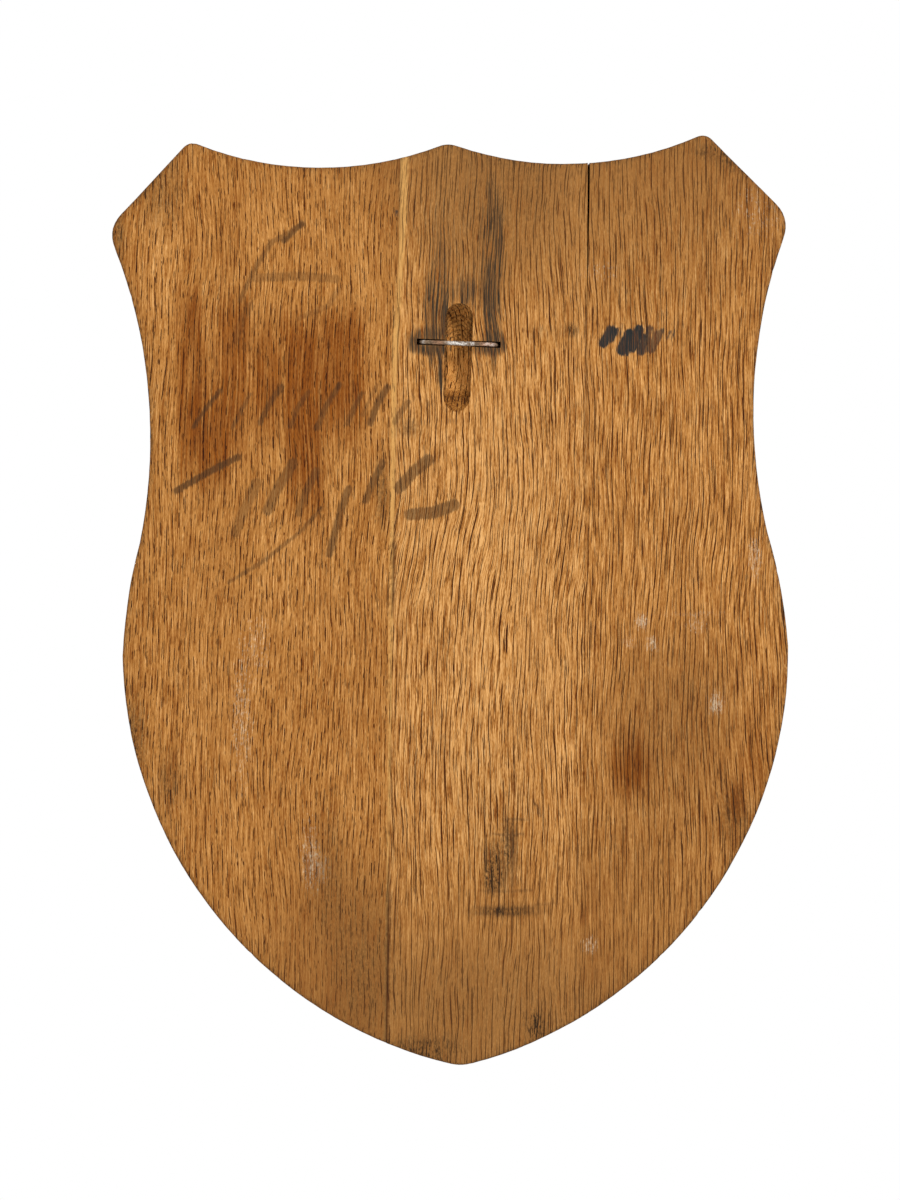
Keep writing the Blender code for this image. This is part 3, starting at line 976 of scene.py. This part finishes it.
def open_pores(oak, place, radius, ring_spacing, pores, length):
    """Rows of open pores along each ring, thinner rows between them, and scattered dashes."""
    row = oak.step(oak.math("PINGPONG", radius, ring_spacing / 2), 0.25, 0.12)
    lesser = oak.total((radius, 1.0), (1.0, 0.37 * ring_spacing))
    lesser = oak.step(oak.math("PINGPONG", lesser, 0.31 * ring_spacing), 0.21, 0.09)
    open_row = oak.noise(place, (0.9, 0.9, length), 2.0, 0.6)
    beside = oak.vector("ADD", place, (71.0, 9.0, 23.0))
    open_lesser = oak.noise(beside, (0.8, 0.8, 0.7 * length), 2.0, 0.6)
    more = 0.4 * pores
    row = oak.times(row, oak.step(open_row, 0.20 - more, 0.45 - more))
    lesser = oak.times(lesser, oak.step(open_lesser, 0.50 - more, 0.80 - more))
    dash = oak.times(oak.flecks(place, (0.48, 4.0, 4.6), 0.18), 0.75)
    return oak.math("MAXIMUM", oak.math("MAXIMUM", row, lesser), dash)


def oak_grain(oak, lean, pith, ring_spacing, pores, pore_length, sway):
    """The patterns that follow a board's fibres: rings round its pith, fibres and pores."""
    place = grain_place(oak, lean, sway)
    from_pith = oak.vector("SUBTRACT", place, (*pith, 0.0))
    from_pith = oak.vector("MULTIPLY", from_pith, (1.0, 1.0, 0.03))
    radius = oak.add("VectorMath", from_pith, operation="LENGTH").outputs["Value"]
    radius = oak.total(
        (radius, 1.0),
        (oak.noise(place, (12, 12, 70)), 0.9),
        (oak.noise(place, (2.6, 2.6, 34)), 0.14),
    )
    ring = oak.math("FRACT", oak.times(radius, 1 / ring_spacing))
    elsewhere = oak.vector("ADD", place, (31.0, 17.0, 53.0))
    return SimpleNamespace(
        place=place,
        early=oak.step(ring, 0.05, 0.65, 1.0, 0.0),
        fine=oak.noise(place, (0.22, 0.22, 9), 0.0),
        short=oak.noise(elsewhere, (0.22, 0.22, 1.7), 0.0),
        streak=oak.noise(place, (0.8, 0.8, 30)),
        band=oak.noise(place, (5, 5, 120)),
        broad=oak.noise(place, (26, 26, 110)),
        specks=oak.noise(place, (0.9, 0.9, 1.9), 3.0, 0.7),
        pore=open_pores(oak, place, radius, ring_spacing, pores, pore_length),
    )


def bare_oak(oak, grain, tone, contrast):
    """The raw wood before any stain: its colour, how light it is, and its pores."""
    tone_here = oak.field("tone")
    pale = oak.math("MAXIMUM", tone_here, 0.0)
    dull = oak.times(oak.math("MINIMUM", tone_here, 0.0), -1.0)
    calm = oak.total((pale, 0.2 * contrast), (dull, -0.75 * contrast), (1.0, contrast))
    weave = oak.total(
        (grain.fine, 0.42),
        (grain.short, 0.17),
        (grain.streak, 0.06),
        (grain.band, 0.07),
        (grain.early, -0.07),
    )
    light = oak.total(
        (oak.times(weave, calm), 1.0),
        (grain.broad, 0.05),
        (pale, 0.30),
        (dull, -0.13),
        (1.0, tone + 0.05),
    )
    pore = oak.times(grain.pore, oak.step(tone_here, -0.7, -0.1, 0.80, 1.0))
    raw = oak.ramp(light, OAK_STOPS)
    raw = oak.mix(oak.times(dull, 0.30), raw, DULL_BROWN)
    raw = oak.mix(pore, raw, PORE_BROWN)
    sap_light = oak.total((grain.fine, 0.22), (pore, -0.3), (1.0, 0.62))
    raw = oak.mix(oak.times(oak.field("sapwood"), sap_light), raw, SAPWOOD)
    return raw, light, pore


def stain_oak(oak, raw, grain):
    """The raw wood with its wash, scuffs, slot, iron stains, glue lines and dirt, and painted shade
    in the slot's cross cuts and on its walls.
    """
    runs = oak.noise(grain.place, (0.75, 4, 40), 2.0, 0.6)
    wash = oak.field("wash")
    cover = oak.total((wash, 1.30), (runs, 1.10), (grain.fine, 0.55), (1.0, -0.22))
    cover = oak.times(cover, oak.step(wash, 0.0, 0.3))
    raw = oak.mix(oak.held(cover), raw, WASH_BROWN, "MULTIPLY")

    scuff = oak.field("scuff")
    cover = oak.total((scuff, 1.1), (grain.fine, 0.30), (grain.specks, 0.60), (1.0, -0.30))
    cover = oak.times(oak.step(cover, 0.0, 1.0), oak.step(scuff, 0.0, 0.2))
    raw = oak.mix(cover, raw, SCUFF_PALE)

    raw = oak.mix(oak.field("hollow"), raw, HOLLOW_WARM, "MULTIPLY")
    raw = oak.mix(oak.field("slot_dark"), raw, RAMP_GREY, "MULTIPLY")
    # Painted shade in the bottoms of the slot's cross cuts, broken up along the grain
    chop_shade_breakup = oak.step(grain.short, -0.9, 0.5, 0.3, 0.95)
    raw = oak.mix(oak.times(oak.field("chop_shade"), chop_shade_breakup), raw, CUT_SHADE_BROWN)

    broken = oak.total((grain.fine, 0.35), (grain.streak, 0.55), (grain.pore, 0.5))
    tannin = oak.field("tannin")
    cover = oak.total((tannin, 1.0), (broken, 1.15), (1.0, -0.20))
    cover = oak.times(cover, oak.step(tannin, 0.0, 0.6))
    raw = oak.mix(oak.held(cover, 0.97), raw, TANNIN_GREY)

    raw = oak.mix(oak.field("seam"), raw, PORE_BROWN)
    # Dirt on the back and its edge, and painted shade on the slot's walls
    grime_and_shade_breakup = oak.total((grain.specks, 0.9), (grain.fine, 0.7), (grain.pore, 0.8))
    grime_and_shade_breakup = oak.total((oak.step(grime_and_shade_breakup, -0.6, 1.0), 1.2), (1.0, 0.24))
    grime_and_shade = oak.times(oak.field("grime_and_shade"), grime_and_shade_breakup)
    return oak.mix(oak.held(grime_and_shade), raw, GRIME_AND_SHADE_BROWN)


def brush_oak(oak, raw, grain):
    """The strokes and dabs laid over the wood, and how thick the paint is."""
    ragged = oak.total((grain.fine, 0.8), (grain.streak, 0.9), (grain.short, 0.3))
    edge = oak.total((oak.field("stroke_edge"), 1.0), (ragged, 0.44), (grain.specks, 0.18))
    stroke = oak.times(oak.step(edge, 0.5, -0.5), oak.field("stroke_strength"))
    stroke = oak.times(stroke, oak.step(grain.fine, -1.4, 0.3, 0.45, 1.0))
    black = oak.field("stroke_black")
    cover = oak.times(stroke, oak.total((black, 0.16), (1.0, 1.0)))
    paint = oak.mix(black, BRUSH_BROWN, INK_BLACK)
    return oak.mix(oak.held(cover), raw, paint), stroke


def wax_oak(oak, light, pore, height):
    """The dark waxed wood of the front and the sides, darkest in the gouge's cuts."""
    dark_light = oak.total(
        (light, 0.62), (height, 0.36), (oak.field("dish"), -0.22), (1.0, -0.10)
    )
    waxed = oak.ramp(dark_light, WAXED_STOPS)
    return oak.mix(oak.times(pore, 0.6), waxed, WAXED_PORE)


def oak_finish(name, lean, pith, ring_spacing, tone, contrast, pores, pore_length, sway):
    """Oak for one board: its grain, then stains, marks, wear and painted shade in the slot, and wax
    on the front.
    """
    oak = Finish(name)
    grain = oak_grain(oak, lean, pith, ring_spacing, pores, pore_length, sway)
    raw, light, grain.pore = bare_oak(oak, grain, tone, contrast)
    raw = stain_oak(oak, raw, grain)
    raw, stroke = brush_oak(oak, raw, grain)
    height = oak.field("front_height")
    waxed = wax_oak(oak, light, grain.pore, height)
    raw_share = oak.field("raw")
    oak.feed(oak.surface.inputs["Base Color"], oak.mix(raw_share, waxed, raw))
    oak.surface.inputs["Specular IOR Level"].default_value = OAK_SHEEN

    rough_raw = oak.total((grain.fine, 0.04), (stroke, -0.12), (1.0, 0.80))
    rough_waxed = oak.total(
        (grain.fine, 0.05), (grain.pore, 0.25), (height, -0.10), (1.0, 0.58)
    )
    rougher = oak.math("SUBTRACT", rough_raw, rough_waxed)
    rough = oak.total((raw_share, rougher), (rough_waxed, 1.0))
    oak.feed(oak.surface.inputs["Roughness"], rough)
    relief = ((grain.pore, -0.16), (grain.fine, 0.035), (grain.streak, 0.03), (grain.specks, 0.01))
    oak.raise_surface(oak.total(*relief), 0.8)
    return oak.material


def iron_finish():
    """Rusted wrought iron, worn bright on top by a hook, with a painted highlight on that top and
    painted shade on the wire's underside.
    """
    iron = Finish("rusted_iron")
    place = iron.add("TexCoord").outputs["Object"]
    place = iron.vector("MULTIPLY", place, (1 / MM, 1 / MM, 1 / MM))
    ridges = iron.noise(place, (7, 0.35, 0.30))
    spots = iron.noise(place, (0.7, 0.6, 0.5), 3.0, 0.6)
    broad = iron.noise(place, (2.6, 1, 1))
    base = iron.total((ridges, 0.40), (spots, 0.26), (1.0, 0.44))
    colour = iron.ramp(base, IRON_STOPS)
    patchy = iron.step(iron.total((spots, 1.0), (ridges, 0.6)), -1.2, 0.6)
    rust = iron.times(iron.field("rusty"), patchy)
    rust_colour = iron.mix(iron.step(broad, -0.8, 0.8), RUST_DARK, RUST_PALE)
    colour = iron.mix(rust, colour, rust_colour)
    # Worn bright iron with a painted highlight, kept to the top of the wire
    rubbed_and_lit = iron.step(iron.total((spots, 0.9), (broad, 0.8)), -0.7, 0.5)
    bright = iron.times(iron.field("bright"), rubbed_and_lit)
    colour = iron.mix(bright, colour, WORN_AND_HIGHLIGHT_PALE)
    # Painted shade on the wire's underside and legs
    colour = iron.mix(iron.times(iron.field("shade"), 0.92), colour, IRON_SHADE)
    iron.feed(iron.surface.inputs["Base Color"], colour)
    iron.feed(iron.surface.inputs["Metallic"], iron.total((bright, 0.35), (1.0, 0.25)))
    rough = iron.total((bright, -0.2), (spots, 0.05), (1.0, 0.62))
    iron.feed(iron.surface.inputs["Roughness"], rough)
    iron.raise_surface(iron.total((ridges, 0.07), (spots, 0.06)), 0.7)
    return iron.material


# Staple


def staple_line():
    """The wire's middle line in its own plane: (across, depth, share of the full thickness)."""
    radius = STAPLE_THICKNESS / 2
    reach = STAPLE_LENGTH / 2 - radius
    bend = STAPLE_BEND + radius
    half = [(reach, LEG_LENGTH, 0.25)]
    half += [(reach, depth, 1.0) for depth in np.linspace(LEG_LENGTH - 4, radius + bend, 12)]
    for angle in np.linspace(0, math.pi / 2, 8)[1:]:
        across = reach - bend + bend * math.cos(angle)
        half.append((across, radius + bend - bend * math.sin(angle), 1.0))
    half += [(x, radius, 1.0) for x in np.linspace(reach - bend, 0, 60)[1:]]
    return half + [(-x, depth, share) for x, depth, share in reversed(half[:-1])]


def wire_points():
    """Points round the staple's wire, ring by ring: across, depth and up, in its own plane."""
    line = np.array(staple_line())
    ahead = np.gradient(line[:, :2], axis=0)
    ahead /= np.linalg.norm(ahead, axis=1)[:, None]
    out = np.column_stack([-ahead[:, 1], ahead[:, 0]])
    if out[len(line) // 2, 1] > 0:
        out = -out
    angles = 2 * math.pi * np.arange(WIRE_SIDES) / WIRE_SIDES
    radius = STAPLE_THICKNESS / 2
    spread = abs(np.cos(angles)) ** WIRE_SQUARENESS + abs(np.sin(angles)) ** WIRE_SQUARENESS
    square = 1.0 / np.maximum(spread, 1e-9) ** (1 / WIRE_SQUARENESS)
    rings = []
    for (across, depth, share), (out_x, out_depth) in zip(line, out):
        length = radius * share * square
        outward = length * np.cos(angles)
        upward = length * np.sin(angles)
        ring = (across + out_x * outward, depth + out_depth * outward, upward)
        rings.append(np.column_stack(ring))
    points = np.array(rings)
    centres = np.column_stack([line[:, 0], line[:, 1], np.zeros(len(line))])[:, None, :]
    flat = points.reshape(-1, 3)
    worn = noise_share(flat, (5, 1.2, 1.2), 51)
    pits = rise(smooth_noise(flat, (0.9, 0.7, 0.7), 52), 0.35, 0.9)
    ridges = noise_share(flat, (6, 0.5, 0.42), 53)
    shrink = (0.10 * worn + 0.10 * pits + 0.10 * ridges).reshape(points.shape[:2])
    return points + (centres - points) * np.clip(shrink, 0, 0.5)[:, :, None] / radius


def wire_faces(count):
    """Faces between the wire's rings, and one over each end."""
    sides = WIRE_SIDES
    faces = []
    for i in range(count - 1):
        for k in range(sides):
            j = (k + 1) % sides
            faces.append((i * sides + k, i * sides + j, (i + 1) * sides + j, (i + 1) * sides + k))
    faces.append(tuple(reversed(range(sides))))
    faces.append(tuple((count - 1) * sides + k for k in range(sides)))
    return faces


def make_staple():
    """The hammered iron wire, a little flattened and pitted, that stands for its CAD node."""
    points = wire_points()
    x, depth, up = points.reshape(-1, 3).T
    cos, sin = math.cos(STAPLE_TILT), math.sin(STAPLE_TILT)
    places = np.column_stack([x * cos - up * sin, -depth, x * sin + up * cos])
    mesh = bpy.data.meshes.new("hanging_staple_iron")
    mesh.from_pydata((places * MM).tolist(), [], wire_faces(len(points)))
    skin = bmesh.new()
    skin.from_mesh(mesh)
    bmesh.ops.recalc_face_normals(skin, faces=skin.faces)
    skin.to_mesh(mesh)
    skin.free()
    along = -places[:, 0]
    fields = {"bright": np.zeros(len(along)), "rusty": np.zeros(len(along))}
    for name, stretches in (("bright", BRIGHT_STRETCHES), ("rusty", RUSTY_STRETCHES)):
        for middle, half, strength in stretches:
            cover = strength * np.exp(-(((along - middle) / half) ** 4))
            fields[name] = np.maximum(fields[name], cover)
    # Painted shade: the wire darkens from its middle down to its underside and along its legs
    fields["shade"] = rise(depth, 1.0, 2.1)
    # The worn bright iron and its painted highlight stay on the wire's top
    fields["bright"] *= 1 - rise(depth, 0.3, 1.0)
    write_fields(mesh, fields)
    mesh.materials.append(iron_finish())
    mesh.shade_smooth()
    staple = add_object("hanging_staple_iron", mesh)
    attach(staple, "root")
    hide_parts("hanging_staple")


# Studio


VIEW_ROLL = math.radians(0.87)
VIEW_AIM = (-5.43, -110.56)
VIEW_DISTANCE = 1800.0
VIEW_HEIGHT = 516.96
SENSOR = 36.0
FLOOR_DROP = 1400.0
FLOOR_HALF = 3.0
FLOOR_WHITE = (0.82, 0.82, 0.81, 1.0)
SKY_LIGHT = 0.50

# Lights: place and size in metres, and watts
LIGHTS = {
    "key": ((-1.25, 1.5, 1.35), 0.7, 42.0),
    "fill": ((1.6, 1.6, 0.3), 1.4, 12.0),
    "front_key": ((1.1, -1.5, 1.2), 0.8, 52.0),
}
LIGHTS_AIM = Vector((0, 0, -0.1))


def add_camera():
    """Square on to the back, rolled by the little that the plaque leans in the view."""
    data = bpy.data.cameras.new("view")
    data.sensor_width = SENSOR
    data.lens = SENSOR * VIEW_DISTANCE / VIEW_HEIGHT
    data.clip_start = 0.05
    camera = add_object("view", data)
    cos, sin = math.cos(VIEW_ROLL), math.sin(VIEW_ROLL)
    aim = Vector((-VIEW_AIM[0] * MM, VIEW_DISTANCE * MM, VIEW_AIM[1] * MM))
    turn = Matrix(((-cos, -sin, 0.0), (0.0, 0.0, 1.0), (-sin, cos, 0.0)))
    camera.matrix_world = Matrix.Translation(aim) @ turn.to_4x4()
    bpy.context.scene.camera = camera


def add_floor():
    """A plain pale floor, well below the hung plaque."""
    mesh = bpy.data.meshes.new("floor")
    half, down = FLOOR_HALF, -FLOOR_DROP * MM
    corners = [(-half, -half, down), (half, -half, down), (half, half, down), (-half, half, down)]
    mesh.from_pydata(corners, [], [(0, 1, 2, 3)])
    paint = Finish("floor_paint")
    paint.surface.inputs["Base Color"].default_value = FLOOR_WHITE
    paint.surface.inputs["Roughness"].default_value = 0.8
    mesh.materials.append(paint.material)
    floor = add_object("floor", mesh)


def add_light(name, place, size, watts):
    """A square soft light that faces the plaque."""
    data = bpy.data.lights.new(name, "AREA")
    data.size = size
    data.energy = watts
    light = add_object(name, data)
    light.location = place
    towards = LIGHTS_AIM - Vector(place)
    light.rotation_euler = towards.to_track_quat("-Z", "Y").to_euler()


def add_world(strength):
    """White all round for the view, and softer as a light."""
    world = bpy.data.worlds.new("studio")
    world.use_nodes = True
    tree = world.node_tree
    background = tree.nodes["Background"]
    background.inputs["Color"].default_value = WHITE
    path = tree.nodes.new("ShaderNodeLightPath")
    level = tree.nodes.new("ShaderNodeMapRange")
    level.inputs["To Min"].default_value = strength
    tree.links.new(path.outputs["Is Camera Ray"], level.inputs["Value"])
    tree.links.new(level.outputs[0], background.inputs["Strength"])
    bpy.context.scene.world = world


def add_studio():
    """Camera, floor and light."""
    bpy.context.scene.view_settings.view_transform = "Standard"
    add_camera()
    add_floor()
    add_world(SKY_LIGHT)
    for name, light in LIGHTS.items():
        add_light(name, *light)


# Each board: its finish, the lean of its fibres, where its pith lies, the width of a ring, its
# tone, its contrast, how many pores are open, how long they are, and how its fibres sway
BOARDS = {
    "left_board": ("left_oak", 1.6, (320.0, 60.0), 2.3, 0.47, 0.77, 0.68, 8.0, 0.3),
    "middle_board": ("middle_oak", 1.5, (-300.0, 60.0), 2.1, 0.59, 1.1, 0.94, 22.0, 1.0),
    "right_board": ("right_oak", 1.3, (-329.4, 60.0), 2.0, 0.52, 0.95, 0.92, 24.0, 0.4),
}

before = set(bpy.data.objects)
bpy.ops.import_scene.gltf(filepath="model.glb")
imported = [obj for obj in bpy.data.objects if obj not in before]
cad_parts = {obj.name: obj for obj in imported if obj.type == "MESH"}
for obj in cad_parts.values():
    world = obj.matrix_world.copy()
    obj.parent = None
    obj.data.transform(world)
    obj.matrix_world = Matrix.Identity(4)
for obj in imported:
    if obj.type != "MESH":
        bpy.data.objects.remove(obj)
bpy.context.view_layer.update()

for board, (finish, lean, *grain) in BOARDS.items():
    make_board(board, oak_finish(finish, math.radians(lean), *grain))
make_staple()
add_studio()
